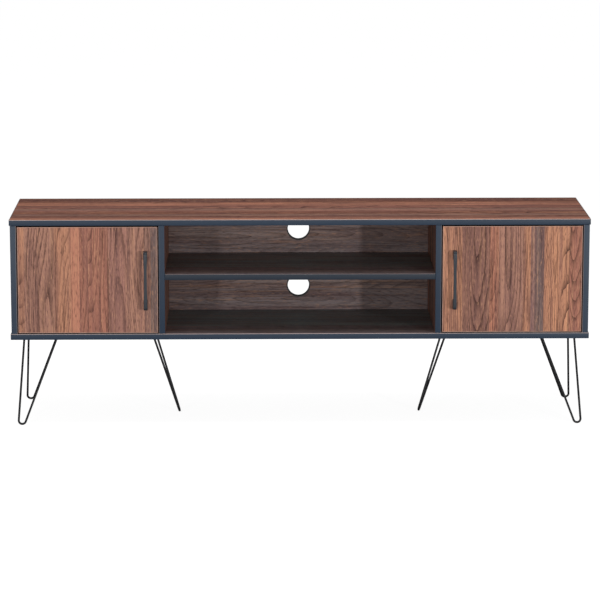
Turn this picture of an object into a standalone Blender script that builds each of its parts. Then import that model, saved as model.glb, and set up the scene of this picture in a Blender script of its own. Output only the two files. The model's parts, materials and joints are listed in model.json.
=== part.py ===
"""TV stand: a wide, low cabinet with a door at each end and two open bays between, on six hairpin legs.

Metres, +Z up. The floor is z = 0, the fronts face -Y, and the origin is under the middle of the whole
object, handles included. "Left" is the -X side, as seen by someone facing the doors.
"""

import math

import bmesh
import bpy
from mathutils import Matrix, Vector

# Driving dimensions
WIDTH = 1.600
DEPTH = 0.395
BODY_HEIGHT = 0.335
LEG_HEIGHT = 0.248
BOARD = 0.016
END_OVERHANG = 0.0025  # the top and the bottom stand this far out past the side panels
DIVIDER_OUTER = 0.3895  # from the centre to the cabinet face of each divider
SHELF_TOP = 0.431
BACK_INSET = 0.354  # from the fronts to the face of the back panels
DOOR_GAP = 0.003
JOINT_GAP = 0.0003  # between boards that meet
EDGE_ROUND = 0.0007
DOOR_EDGE_ROUND = 0.0012

CABLE_HOLE_RADIUS = 0.032
UPPER_HOLE_Z = 0.501
LOWER_HOLE_Z = 0.336

HANDLE_REACH = 0.028
HANDLE_LENGTH = 0.163
HANDLE_BAR = 0.008
HANDLE_WIDTH = 0.0095
HANDLE_FOOT = 0.026
HANDLE_FROM_EDGE = 0.0335
HANDLE_SCREW_SPACING = 0.139

DOOR_SWING_DEG = 105.0
HINGE_AXIS_IN = 0.003  # the swing axis, in from the door's outer edge, on the door's face
HINGE_FROM_END = 0.060  # from the door's top and bottom to the middle of each hinge
CUP_IN = 0.0225  # from the door's outer edge to the middle of the hinge cup
CUP_RADIUS = 0.0172
CUP_BORE_RADIUS = 0.0175
CUP_BORE_DEPTH = 0.0125
LINK_INNER = 0.019
LINK_OUTER = 0.023
LINK_THICK = 0.004
LINK_PITCH = 0.0045  # between the three flat arcs that slide past each other in a hinge

ROD_RADIUS = 0.003
LEG_PLATE = 0.003
FOOT_BEND = 0.010
CORNER_FOOT_IN = 0.0312  # from the fronts, or from the rear edge, to the corner feet
CORNER_FOOT_X = 0.7748
CORNER_TOP_OUTER_X = 0.7706
CORNER_TOP_INNER_X = 0.6750
CORNER_TOP_IN = 0.120
MIDDLE_TOP_X = 0.4180
MIDDLE_FOOT_X = 0.3400
MIDDLE_TOP_SPREAD = 0.057  # from mid-depth to each rod's top

# Places worked out from them
Y_FRONT = (HANDLE_REACH - DEPTH) / 2
Y_BACK = Y_FRONT + DEPTH
Z_BOTTOM = LEG_HEIGHT
Z_FLOOR = Z_BOTTOM + BOARD
Z_CEILING = LEG_HEIGHT + BODY_HEIGHT - BOARD
Z_TOP = LEG_HEIGHT + BODY_HEIGHT
SIDE_OUTER = WIDTH / 2 - END_OVERHANG
SIDE_INNER = SIDE_OUTER - BOARD
DIVIDER_INNER = DIVIDER_OUTER - BOARD
DOOR_OUTER = SIDE_INNER - DOOR_GAP
DOOR_INNER = DIVIDER_OUTER + DOOR_GAP
DOOR_LOW = Z_FLOOR + DOOR_GAP
DOOR_HIGH = Z_CEILING - DOOR_GAP
AXIS_X = DOOR_OUTER - HINGE_AXIS_IN
HANDLE_X = DOOR_INNER + HANDLE_FROM_EDGE
HANDLE_Z = (DOOR_LOW + DOOR_HIGH) / 2
HINGE_HEIGHTS = {"lower": DOOR_LOW + HINGE_FROM_END, "upper": DOOR_HIGH - HINGE_FROM_END}
SIDES = {"left": -1, "right": 1}

COLOURS = {
    "walnut": ((0.21, 0.10, 0.065, 1), 0.45, 0.0),
    "walnut_door": ((0.33, 0.16, 0.11, 1), 0.45, 0.0),
    "charcoal": ((0.055, 0.072, 0.095, 1), 0.5, 0.0),
    "black_metal": ((0.02, 0.02, 0.022, 1), 0.4, 0.6),
    "nickel": ((0.6, 0.59, 0.57, 1), 0.3, 1.0),
    "catch_plastic": ((0.12, 0.07, 0.05, 1), 0.5, 0.0),
}


def clear_scene():
    for obj in list(bpy.data.objects):
        bpy.data.objects.remove(obj, do_unlink=True)


def collection(name, hidden=False):
    made = bpy.data.collections.new(name)
    made.hide_render = hidden
    bpy.context.scene.collection.children.link(made)
    return made


def material(name):
    colour, roughness, metallic = COLOURS[name]
    made = bpy.data.materials.new(name)
    made.use_nodes = True
    shader = made.node_tree.nodes["Principled BSDF"]
    shader.inputs["Base Color"].default_value = colour
    shader.inputs["Roughness"].default_value = roughness
    shader.inputs["Metallic"].default_value = metallic
    made.diffuse_color = colour
    return made


clear_scene()
PARTS = collection("tv_stand")
CUTTERS = collection("cutters", hidden=True)
MATERIALS = {name: material(name) for name in COLOURS}


def add(name, mesh, finish, place=(0, 0, 0)):
    obj = bpy.data.objects.new(name, mesh)
    obj.location = place
    mesh.materials.append(MATERIALS[finish])
    PARTS.objects.link(obj)
    return obj


def mesh_from(bm, name):
    """The mesh of a bmesh, with its faces turned outwards."""
    bmesh.ops.recalc_face_normals(bm, faces=bm.faces)
    mesh = bpy.data.meshes.new(name)
    bm.to_mesh(mesh)
    bm.free()
    return mesh


def smooth(obj, degrees=35):
    obj.data.shade_smooth()
    obj.data.set_sharp_from_angle(angle=math.radians(degrees))
    return obj


def cube_mesh(name, size):
    bm = bmesh.new()
    bmesh.ops.create_cube(bm, size=1.0, matrix=Matrix.Diagonal((*size, 1)))
    return mesh_from(bm, name)


def cylinder_mesh(name, radius, length, segments=32):
    """A cylinder along Y."""
    bm = bmesh.new()
    turned = Matrix.Rotation(math.pi / 2, 4, "X")
    bmesh.ops.create_cone(
        bm, cap_ends=True, segments=segments, radius1=radius, radius2=radius, depth=length, matrix=turned
    )
    return mesh_from(bm, name)


def rounded(obj, width, segments=1):
    bevel = obj.modifiers.new("rounded_edges", "BEVEL")
    bevel.width = width
    bevel.segments = segments
    bevel.limit_method = "ANGLE"
    return obj


def block(name, low, high, finish, edge=EDGE_ROUND):
    """A box between two corners, with its edges rounded."""
    low, high = Vector(low), Vector(high)
    low.x, high.x = min(low.x, high.x), max(low.x, high.x)
    obj = add(name, cube_mesh(name, high - low), finish, (low + high) / 2)
    return rounded(obj, edge) if edge else obj


def cutter(obj):
    """Takes a finished piece off the parts list and makes it a helper."""
    PARTS.objects.unlink(obj)
    CUTTERS.objects.link(obj)
    obj.hide_render = True
    obj.display_type = "WIRE"
    return obj


def combine(obj, other, operation):
    boolean = obj.modifiers.new(other.name, "BOOLEAN")
    boolean.operation = operation
    boolean.object = cutter(other)
    return obj


def drill(obj, name, place, radius, length, segments=24):
    """A round hole along Y through or into a piece."""
    hole = add(name, cylinder_mesh(name, radius, length, segments), "charcoal", place)
    return combine(obj, hole, "DIFFERENCE")


def hang(piece, pivot):
    """Parents a piece to a pivot empty and leaves it where it is."""
    piece.parent = pivot
    piece.matrix_parent_inverse = Matrix.Translation(-pivot.location)
    return piece


def pivot_empty(name, place):
    pivot = bpy.data.objects.new(name, None)
    pivot.location = place
    PARTS.objects.link(pivot)
    return pivot


# Carcass boards


def make_carcass():
    rear = Y_FRONT + BACK_INSET + BOARD
    block("top_panel", (-WIDTH / 2, Y_FRONT, Z_CEILING), (WIDTH / 2, Y_BACK, Z_TOP), "walnut")
    block("bottom_panel", (-WIDTH / 2, Y_FRONT, Z_BOTTOM), (WIDTH / 2, Y_BACK, Z_FLOOR), "walnut")
    low, high = Z_FLOOR + JOINT_GAP, Z_CEILING - JOINT_GAP
    for side, sign in SIDES.items():
        uprights = {
            f"{side}_side_panel": (SIDE_INNER, SIDE_OUTER),
            f"{side}_divider": (DIVIDER_INNER, DIVIDER_OUTER),
        }
        for name, (inner, outer) in uprights.items():
            block(name, (sign * inner, Y_FRONT, low), (sign * outer, Y_BACK, high), "walnut")
        block(
            f"{side}_back_panel",
            (sign * (DIVIDER_OUTER + JOINT_GAP), Y_FRONT + BACK_INSET, low),
            (sign * (SIDE_INNER - JOINT_GAP), rear, high),
            "walnut",
        )
    half = DIVIDER_INNER - JOINT_GAP
    shelf_low = SHELF_TOP - BOARD
    block("centre_shelf", (-half, Y_FRONT, shelf_low), (half, rear, SHELF_TOP), "walnut")
    backs = {
        "upper": (SHELF_TOP + JOINT_GAP, high, UPPER_HOLE_Z),
        "lower": (low, shelf_low - JOINT_GAP, LOWER_HOLE_Z),
    }
    for level, (bottom, top, hole_z) in backs.items():
        name = f"{level}_centre_back"
        back = block(name, (-half, Y_FRONT + BACK_INSET, bottom), (half, rear, top), "walnut")
        place = (0, Y_FRONT + BACK_INSET + BOARD / 2, hole_z)
        drill(back, f"{level}_cable_hole", place, CABLE_HOLE_RADIUS, 2 * BOARD, segments=48)


# Doors, handles and hinges


def handle_outline():
    """The handle from the side, as (reach, height) points: a flat bow with rounded corners."""
    outer, inner, corner_steps = 0.007, 0.005, 5
    half = HANDLE_LENGTH / 2
    clear = half - HANDLE_FOOT
    bar_back = HANDLE_REACH - HANDLE_BAR
    quarter = math.pi / 2

    def corner(reach, height, radius, start, turn):
        angles = [start + turn * i / corner_steps for i in range(corner_steps + 1)]
        return [(reach + radius * math.cos(a), height + radius * math.sin(a)) for a in angles]

    outside = [(JOINT_GAP, half)]
    outside += corner(HANDLE_REACH - outer, half - outer, outer, quarter, -quarter)
    inside = [(JOINT_GAP, clear)]
    inside += corner(bar_back - inner, clear - inner, inner, quarter, -quarter)
    upper = list(reversed(inside)) + outside
    return upper + [(reach, -height) for reach, height in reversed(upper)]


def handle_mesh(name):
    bm = bmesh.new()
    half = HANDLE_WIDTH / 2
    ring = [bm.verts.new((-half, -reach, height)) for reach, height in handle_outline()]
    face = bm.faces.new(ring)
    grown = bmesh.ops.extrude_face_region(bm, geom=[face])["geom"]
    moved = [v for v in grown if isinstance(v, bmesh.types.BMVert)]
    bmesh.ops.translate(bm, verts=moved, vec=(HANDLE_WIDTH, 0, 0))
    return mesh_from(bm, name)


def make_handle(side, sign, pivot):
    name = f"{side}_handle"
    handle = add(name, handle_mesh(name), "black_metal", (sign * HANDLE_X, Y_FRONT, HANDLE_Z))
    rounded(handle, 0.0012, segments=2)
    smooth(hang(handle, pivot))
    for level, sense in {"lower": -1, "upper": 1}.items():
        z = HANDLE_Z + sense * HANDLE_SCREW_SPACING / 2
        depth = 0.009
        place = (sign * HANDLE_X, Y_FRONT - depth / 2, z)
        drill(handle, f"{name}_{level}_hole", place, 0.0024, depth, segments=16)
        make_handle_screw(f"{name}_{level}_screw", sign * HANDLE_X, z, pivot)


def make_handle_screw(name, x, z, pivot):
    """A pan head on the door's inner face and a shank that reaches into the handle's foot."""
    head_height, head_radius, shank_radius, tip = 0.0024, 0.0045, 0.002, 0.006
    back = Y_FRONT + BOARD + JOINT_GAP
    profile = [(0, back + head_height), (0.7 * head_radius, back + head_height)]
    profile += [(head_radius, back + head_height / 2), (head_radius, back), (shank_radius, back)]
    profile += [(shank_radius, Y_FRONT - tip), (0, Y_FRONT - tip)]
    bm = bmesh.new()
    verts = [bm.verts.new((radius, y, 0)) for radius, y in profile]
    edges = [bm.edges.new(pair) for pair in zip(verts, verts[1:])]
    bmesh.ops.spin(
        bm, geom=verts + edges, axis=(0, 1, 0), cent=(0, 0, 0), steps=16, angle=2 * math.pi, use_merge=True
    )
    bmesh.ops.remove_doubles(bm, verts=bm.verts, dist=1e-5)
    screw = add(name, mesh_from(bm, name), "nickel", (x, 0, z))
    smooth(hang(screw, pivot))


def make_door(side, sign, pivot):
    name = f"{side}_door"
    low = (sign * DOOR_INNER, Y_FRONT, DOOR_LOW)
    high = (sign * DOOR_OUTER, Y_FRONT + BOARD, DOOR_HIGH)
    door = block(name, low, high, "walnut_door", edge=DOOR_EDGE_ROUND)
    hang(door, pivot)
    for level, z in HINGE_HEIGHTS.items():
        place = (sign * (DOOR_OUTER - CUP_IN), Y_FRONT + BOARD, z)
        drill(door, f"{name}_{level}_cup_bore", place, CUP_BORE_RADIUS, 2 * CUP_BORE_DEPTH, segments=40)
    for sense in (-1, 1):
        z = HANDLE_Z + sense * HANDLE_SCREW_SPACING / 2
        place = (sign * HANDLE_X, Y_FRONT + BOARD / 2, z)
        drill(door, f"{name}_screw_bore_{sense}", place, 0.0027, 2 * BOARD, segments=16)


def arc_plate(name, finish, sign, z, start_deg, end_deg):
    """A flat arc about a door's swing axis. Angles run from the free edge round to the back."""
    steps = max(6, round((end_deg - start_deg) / 8))
    bm = bmesh.new()
    start = math.radians(start_deg)
    corners = []
    for radius, height in (
        (LINK_INNER, -LINK_THICK / 2),
        (LINK_OUTER, -LINK_THICK / 2),
        (LINK_OUTER, LINK_THICK / 2),
        (LINK_INNER, LINK_THICK / 2),
    ):
        corners.append(bm.verts.new((-sign * radius * math.cos(start), radius * math.sin(start), height)))
    face = bm.faces.new(corners)
    turn = math.radians(end_deg - start_deg) * -sign
    bmesh.ops.spin(bm, geom=[face], axis=(0, 0, 1), cent=(0, 0, 0), steps=steps, angle=turn)
    return add(name, mesh_from(bm, name), finish, (sign * AXIS_X, Y_FRONT, z))


def make_hinge(side, sign, level, z, door_pivot, link_pivot):
    """A concealed cup hinge. Three flat arcs about the swing axis stand in for its crossed links."""
    name = f"{side}_{level}_hinge"
    cup_x = sign * (DOOR_OUTER - CUP_IN)
    rear = Y_FRONT + BOARD
    flange = 0.0012
    cup_length = CUP_BORE_DEPTH - JOINT_GAP + flange
    cup = add(
        f"{name}_cup",
        cylinder_mesh(name, CUP_RADIUS, cup_length, segments=40),
        "nickel",
        (cup_x, rear + JOINT_GAP + flange - cup_length / 2, z),
    )
    ears = block(
        f"{name}_cup_ears",
        (cup_x - 0.012, rear + JOINT_GAP, z - 0.031),
        (cup_x + 0.012, rear + JOINT_GAP + flange, z + 0.031),
        "nickel",
        edge=0,
    )
    combine(cup, ears, "UNION")
    floor = 0.0012
    pocket_length = cup_length - floor + 0.004
    pocket_y = rear + JOINT_GAP + flange - cup_length + floor + pocket_length / 2
    drill(cup, f"{name}_cup_pocket", (cup_x, pocket_y, z), CUP_RADIUS - 0.0015, pocket_length, segments=40)
    lug = arc_plate(f"{name}_cup_lug", "nickel", sign, z + LINK_PITCH, 12, 80)
    combine(cup, lug, "UNION")
    smooth(hang(cup, door_pivot), degrees=30)

    link = arc_plate(f"{name}_link", "nickel", sign, z, 18, 100)
    smooth(hang(link, link_pivot), degrees=30)

    arm_near, arm_far = 0.0245, 0.092
    arm = block(
        f"{name}_arm",
        (sign * AXIS_X, Y_FRONT + arm_near, z - 0.008),
        (sign * (AXIS_X - 0.009), Y_FRONT + arm_far, z + 0.008),
        "nickel",
        edge=0,
    )
    tongue = arc_plate(f"{name}_arm_tongue", "nickel", sign, z - LINK_PITCH, 37, 88)
    combine(arm, tongue, "UNION")
    root = block(
        f"{name}_arm_root",
        (sign * (AXIS_X - 0.0006), Y_FRONT + 0.0196, z - LINK_PITCH - LINK_THICK / 2),
        (sign * (AXIS_X - 0.0075), Y_FRONT + arm_near + 0.004, z - LINK_PITCH + LINK_THICK / 2),
        "nickel",
        edge=0,
    )
    combine(arm, root, "UNION")

    plate_x = (sign * (SIDE_INNER - JOINT_GAP), sign * (AXIS_X + JOINT_GAP))
    plate = block(
        f"{name}_mounting_plate",
        (plate_x[0], Y_FRONT + 0.040, z - 0.0075),
        (plate_x[1], Y_FRONT + 0.086, z + 0.0075),
        "nickel",
        edge=0,
    )
    wings = block(
        f"{name}_plate_wings",
        (plate_x[0], Y_FRONT + 0.046, z - 0.026),
        (sign * (SIDE_INNER - JOINT_GAP - 0.002), Y_FRONT + 0.060, z + 0.026),
        "nickel",
        edge=0,
    )
    combine(plate, wings, "UNION")


def make_catch(side, sign, pivot):
    """A magnetic catch under the top, and the steel plate it holds, on the door's inner face."""
    near_x = sign * (DOOR_INNER + 0.058)
    far_x = sign * (DOOR_INNER + 0.104)
    rear = Y_FRONT + BOARD
    plate_thick = 0.0015
    strike = block(
        f"{side}_strike_plate",
        (near_x + sign * 0.004, rear + JOINT_GAP, DOOR_HIGH - 0.017),
        (far_x - sign * 0.004, rear + JOINT_GAP + plate_thick, DOOR_HIGH - 0.002),
        "nickel",
        edge=0.0003,
    )
    hang(strike, pivot)
    face = rear + plate_thick + 2 * JOINT_GAP
    block(
        f"{side}_magnetic_catch",
        (near_x, face, Z_CEILING - JOINT_GAP - 0.014),
        (far_x, face + 0.015, Z_CEILING - JOINT_GAP),
        "catch_plastic",
        edge=0.001,
    )


# Hairpin legs


def turned_rod(tops, foot, lean):
    """A hairpin in its own plane, as points: down one rod, round the bend and up the other.

    tops are the two rod tops' places across the leg, foot is the middle of the bend across it,
    and lean is the length of the leg along its slope.
    """
    centre = Vector((foot, FOOT_BEND))
    touches = []
    for top, turn in zip(tops, (1, -1)):
        away = Vector((top, lean)) - centre
        swing = math.acos(FOOT_BEND / away.length) * turn
        touches.append(math.atan2(away.y, away.x) + swing)
    start, end = touches
    if end < start:
        end += 2 * math.pi
    steps = 12
    bend = [start + (end - start) * i / steps for i in range(steps + 1)]
    points = [(tops[0], lean)]
    points += [(centre.x + FOOT_BEND * math.cos(a), centre.y + FOOT_BEND * math.sin(a)) for a in bend]
    return points + [(tops[1], lean)]


def rod_curve(name, points):
    curve = bpy.data.curves.new(name, "CURVE")
    curve.dimensions = "3D"
    curve.bevel_depth = ROD_RADIUS
    curve.bevel_resolution = 4
    curve.use_fill_caps = True
    spline = curve.splines.new("POLY")
    spline.points.add(len(points) - 1)
    for point, place in zip(spline.points, points):
        point.co = (*place, 1)
    return add(name, curve, "black_metal")


def make_leg(name, across, slope, foot, tops, plate):
    """One leg: its bent rod and the plate that holds it to the bottom panel.

    across is the unit vector from the first rod's top to the second's, slope the run from the foot
    to the tops in plan, foot the plan position of the bend, tops the rods' places along across from
    the foot, and plate the plate's size.
    """
    lean_angle = math.atan2(slope.length, LEG_HEIGHT)
    top_z = LEG_HEIGHT - LEG_PLATE - 2 * JOINT_GAP - ROD_RADIUS * math.sin(lean_angle)
    rise = top_z - ROD_RADIUS
    upward = (slope * (rise / LEG_HEIGHT) + Vector((0, 0, rise)))
    lean = upward.length
    base = foot + Vector((0, 0, ROD_RADIUS))
    path = turned_rod(tops, 0.0, lean)
    points = [base + across * a + upward.normalized() * b for a, b in path]
    rod_curve(f"{name}_leg", points)
    middle = foot + slope + across * sum(tops) / 2
    half = Vector((plate[0] / 2, plate[1] / 2, 0))
    low = middle - half + Vector((0, 0, LEG_HEIGHT - JOINT_GAP - LEG_PLATE))
    high = middle + half + Vector((0, 0, LEG_HEIGHT - JOINT_GAP))
    flat = block(f"{name}_leg_plate", low, high, "black_metal", edge=0)
    hole_radius, margin = 0.0025, 0.007
    for i, (sx, sy) in enumerate(((-1, -1), (-1, 1), (1, -1), (1, 1))):
        place = middle + Vector((sx * (half.x - margin), sy * (half.y - margin), LEG_HEIGHT))
        hole = add(
            f"{name}_plate_hole_{i}", cylinder_mesh(name, hole_radius, 0.02, segments=12), "charcoal", place
        )
        hole.rotation_euler = (math.pi / 2, 0, 0)
        combine(flat, hole, "DIFFERENCE")


def make_legs():
    for side, sign in SIDES.items():
        for row, sense in {"front": -1, "rear": 1}.items():
            edge = Y_FRONT if row == "front" else Y_BACK
            foot = Vector((sign * CORNER_FOOT_X, edge - sense * CORNER_FOOT_IN, 0))
            slope = Vector((0, -sense * (CORNER_TOP_IN - CORNER_FOOT_IN), 0))
            across = Vector((-sign, 0, 0))
            tops = (CORNER_FOOT_X - CORNER_TOP_OUTER_X, CORNER_FOOT_X - CORNER_TOP_INNER_X)
            make_leg(f"{side}_{row}", across, slope, foot, tops, (0.128, 0.044))
        middle = (Y_FRONT + Y_BACK) / 2
        foot = Vector((sign * MIDDLE_FOOT_X, middle, 0))
        slope = Vector((sign * (MIDDLE_TOP_X - MIDDLE_FOOT_X), 0, 0))
        tops = (-MIDDLE_TOP_SPREAD, MIDDLE_TOP_SPREAD)
        make_leg(f"{side}_middle", Vector((0, 1, 0)), slope, foot, tops, (0.044, 0.144))


def make_doors():
    for side, sign in SIDES.items():
        axis = (sign * AXIS_X, Y_FRONT, HANDLE_Z)
        door_pivot = pivot_empty(f"{side}_door_axis", axis)
        link_pivot = pivot_empty(f"{side}_link_axis", axis)
        make_door(side, sign, door_pivot)
        make_handle(side, sign, door_pivot)
        for level, z in HINGE_HEIGHTS.items():
            make_hinge(side, sign, level, z, door_pivot, link_pivot)
        make_catch(side, sign, door_pivot)


make_carcass()
make_doors()
make_legs()
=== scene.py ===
"""The finished look of a walnut and charcoal TV stand: finishes, edge bands, handles, legs and fittings.

Metres, +Z up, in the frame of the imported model: the floor is z = 0 and the doors face -Y.
"""

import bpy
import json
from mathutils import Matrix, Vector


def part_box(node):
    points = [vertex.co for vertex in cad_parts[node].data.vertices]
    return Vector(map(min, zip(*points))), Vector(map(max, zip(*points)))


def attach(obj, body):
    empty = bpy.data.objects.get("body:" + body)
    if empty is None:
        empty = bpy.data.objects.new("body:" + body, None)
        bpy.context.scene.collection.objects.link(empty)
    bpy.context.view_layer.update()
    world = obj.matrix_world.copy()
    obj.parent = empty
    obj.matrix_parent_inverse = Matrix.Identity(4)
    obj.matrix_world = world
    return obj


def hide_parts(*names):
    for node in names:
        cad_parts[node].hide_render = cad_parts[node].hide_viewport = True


bl_info = {
    "name": "TV Stand Finish",
    "version": (1, 0, 0),
    "blender": (4, 5, 0),
    "location": "3D View > Sidebar > TV Stand",
    "description": "Finishes, fittings and a small studio for a low TV stand with two doors",
    "category": "Object",
}

import json
import math

import bmesh
import bpy
from bpy.props import FloatProperty, FloatVectorProperty, IntProperty, PointerProperty
from mathutils import Matrix, Vector

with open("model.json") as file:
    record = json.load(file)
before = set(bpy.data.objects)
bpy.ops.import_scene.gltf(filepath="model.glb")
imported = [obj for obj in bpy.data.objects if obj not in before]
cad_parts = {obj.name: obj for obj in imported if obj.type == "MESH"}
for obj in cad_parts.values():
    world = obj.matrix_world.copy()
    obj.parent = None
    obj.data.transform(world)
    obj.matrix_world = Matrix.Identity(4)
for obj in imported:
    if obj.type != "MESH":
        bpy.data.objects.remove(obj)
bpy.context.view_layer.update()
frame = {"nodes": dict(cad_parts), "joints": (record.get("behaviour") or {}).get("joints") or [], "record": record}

MM = 0.001
WELD_DISTANCE = 1e-5
PRINT_RELIEF, PEBBLE_RELIEF, BRUSH_RELIEF = 0.00006, 0.00005, 0.00001
SEED_STEP = 0.381  # from one plank's grain to the next one's
SIDES = {"left": -1, "right": 1}
LEVELS = ("lower", "upper")
CARCASS = "carcass"

TOP_LOW, TOP_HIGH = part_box("top_panel")
BOTTOM_LOW, BOTTOM_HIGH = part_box("bottom_panel")
FRONT = TOP_LOW.y


def srgb(red, green, blue):
    """A screen colour, 0 to 255, as the linear colour that a shader takes."""
    return tuple(
        v / 12.92 if v <= 0.04045 else ((v + 0.055) / 1.055) ** 2.4
        for v in (red / 255, green / 255, blue / 255)
    )


# Walnut tones by name, as screen colours; ash, slate, bark, iron and stone are greyer and serve the painted shade
# inside the bays
TONES = {
    "straw": (220, 155, 120), "honey": (205, 145, 115), "copper": (200, 135, 110),
    "tan": (185, 135, 115), "amber": (195, 130, 105), "cedar": (180, 120, 100),
    "rose": (175, 125, 110), "clay": (160, 105, 90), "umber": (155, 110, 95),
    "russet": (150, 95, 75), "cocoa": (130, 80, 65), "drift": (160, 120, 105),
    "mauve": (145, 110, 105), "smoke": (125, 105, 100), "ash": (155, 140, 140),
    "slate": (140, 130, 135), "bark": (165, 145, 140), "iron": (120, 140, 145),
    "stone": (135, 150, 150),
}

# The planks of each printed face: tone, width in millimetres, strength of the figure
LEFT_DOOR_PLANKS = (
    ("honey", 18, 0.7), ("tan", 83, 1.0), ("honey", 45, 0.7), ("copper", 24, 0.1),
    ("cedar", 24, 0.8), ("cedar", 55, 0.7), ("rose", 52, 0.7), ("tan", 48, 0.7),
    ("drift", 17, 0.3), ("smoke", 20, 0.3),
)
RIGHT_DOOR_PLANKS = (
    ("honey", 54, 0.9), ("umber", 76, 1.0), ("amber", 25, 0.6), ("tan", 68, 0.9),
    ("straw", 20, 0.5), ("mauve", 11, 0.2), ("smoke", 25, 0.1), ("straw", 71, 1.0),
    ("cedar", 36, 0.9),
)
TOP_PLANKS = (
    ("amber", 30, 0.5), ("clay", 20, 0.8), ("cocoa", 18, 1.0), ("drift", 19, 0.8),
    ("umber", 19, 0.9), ("russet", 37, 1.0), ("clay", 19, 0.8), ("rose", 18, 0.5),
    ("drift", 19, 0.7), ("clay", 56, 0.9), ("amber", 56, 0.6), ("russet", 19, 0.9),
    ("cocoa", 65, 1.0),
)
SIDE_PLANKS = (
    ("rose", 70, 0.7), ("tan", 54, 0.5), ("mauve", 62, 0.9), ("honey", 28, 0.2),
    ("drift", 80, 1.0), ("copper", 46, 0.6), ("cedar", 55, 0.6),
)
# The backs' and the shelf's planks use greyer tones: painted shade, the same walnut darkened for the bays.
BACK_PLANKS = (
    ("ash", 62, 0.5), ("bark", 48, 0.6), ("slate", 41, 0.7), ("ash", 52, 0.5),
    ("bark", 38, 0.6), ("ash", 62, 0.6),
)
SHELF_PLANKS = (
    ("slate", 30, 0.5), ("ash", 36, 0.6), ("slate", 48, 0.7), ("stone", 50, 0.5),
    ("iron", 62, 0.6), ("stone", 48, 0.4), ("iron", 121, 0.6),
)


# Settings


def setting(name, description, default, **kind):
    return FloatProperty(name=name, description=description, default=default, **kind)


def length_setting(name, description, default, least=0.0):
    return setting(name, description, default, min=least, unit="LENGTH")


def angle_setting(name, description, degrees):
    return setting(name, description, math.radians(degrees), subtype="ANGLE")


def share_setting(name, description, default):
    return setting(name, description, default, min=0, max=2, subtype="FACTOR")


def power_setting(name, description, default):
    return setting(name, description, default, min=0, unit="POWER")


def linear_setting(name, description, colour):
    return FloatVectorProperty(
        name=name, description=description, default=colour, subtype="COLOR", size=3, min=0, max=1
    )


def colour_setting(name, description, *screen_colour):
    return linear_setting(name, description, srgb(*screen_colour))


class FinishSettings(bpy.types.PropertyGroup):
    """Colours and surface qualities, with painted light and shade on some bands, the doors' banding, the top and
    the boards in the bays.
    """

    line_colour: colour_setting("Growth line", "The dark lines in the walnut print", 62, 36, 32)
    pale_streak: colour_setting("Pale streak", "The light streaks in the walnut print", 214, 160, 124)
    dark_streak: colour_setting("Dark streak", "The purple-brown streaks in the print", 112, 78, 76)
    # The doors' banding colours are painted light and shade: a pale painted highlight round the fronts, and dark
    # painted shade on the faces inside the gaps.
    door_edge_highlight: colour_setting("Door edge", "The banding round the doors' fronts", 216, 172, 154)
    door_side: colour_setting("Door side", "The doors' banding away from the front", 40, 26, 21)
    band_colour: colour_setting("Edge band", "Charcoal of the boards' edge bands", 38, 54, 73)
    # A lighter copy of the band charcoal, painted light: the sides' front bands are brightened for the light they
    # catch.
    outer_band_lit_colour: colour_setting("Outer band", "Charcoal of the sides' front bands", 54, 66, 82)
    # A darker copy of the band charcoal: painted shade on the shelf's front band.
    shelf_band_shaded_colour: colour_setting("Shelf band", "Charcoal of the shelf's front band", 32, 43, 57)
    # The paler arris colour is a painted highlight, where light catches the bands' rounded arrises.
    band_arris: colour_setting("Band arris", "Paler colour of the bands' scraped arrises", 216, 196, 190)
    handle_colour: colour_setting("Handle", "Powder coat of the handles", 56, 60, 66)
    leg_colour: colour_setting("Legs", "Powder coat of the legs and their plates", 38, 38, 40)
    # Brightens the top's walnut print over the doors' and sides': painted light on the top.
    top_painted_light: share_setting("Top shade", "Brightness of the top's print", 1.25)
    # The next three dim the walnut print on the backs, the shelf and floor, and the dividers: painted shade in the
    # bays.
    back_painted_shade: share_setting("Inner shade", "Brightness of the print on the backs", 0.52)
    shelf_painted_shade: share_setting("Shelf shade", "Brightness of the print on the shelf and floor", 0.88)
    upright_painted_shade: share_setting("Upright shade", "Brightness of the print on the dividers", 0.6)


class SizeSettings(bpy.types.PropertyGroup):
    """Sizes of the pieces added to the frame."""

    band_depth: length_setting("Band depth", "How far a band reaches into its board", 0.0018, 0.0005)
    band_proud: length_setting("Band proud", "How far a band stands out of its board", 0.0004, 0.0001)
    band_round: length_setting("Band rounding", "Radius of a band's long edges", 0.0018, 0.0001)
    door_band: length_setting("Door band", "Width of the banding round a door's front", 0.0022, 0.0013)
    rod_radius: length_setting("Rod radius", "Radius of the legs' steel rod", 0.003, 0.001)
    foot_bend: length_setting("Foot bend", "Radius of a foot's bend, at the rod's middle", 0.010, 0.004)
    rod_sides: IntProperty(name="Rod sides", description="Faces around a leg's rod", default=20, min=8)
    handle_foot: length_setting("Handle foot", "Height of each of a handle's feet", 0.025, 0.01)
    handle_bar: length_setting("Handle bar", "Thickness of a handle's bar, front to back", 0.008, 0.004)


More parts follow.
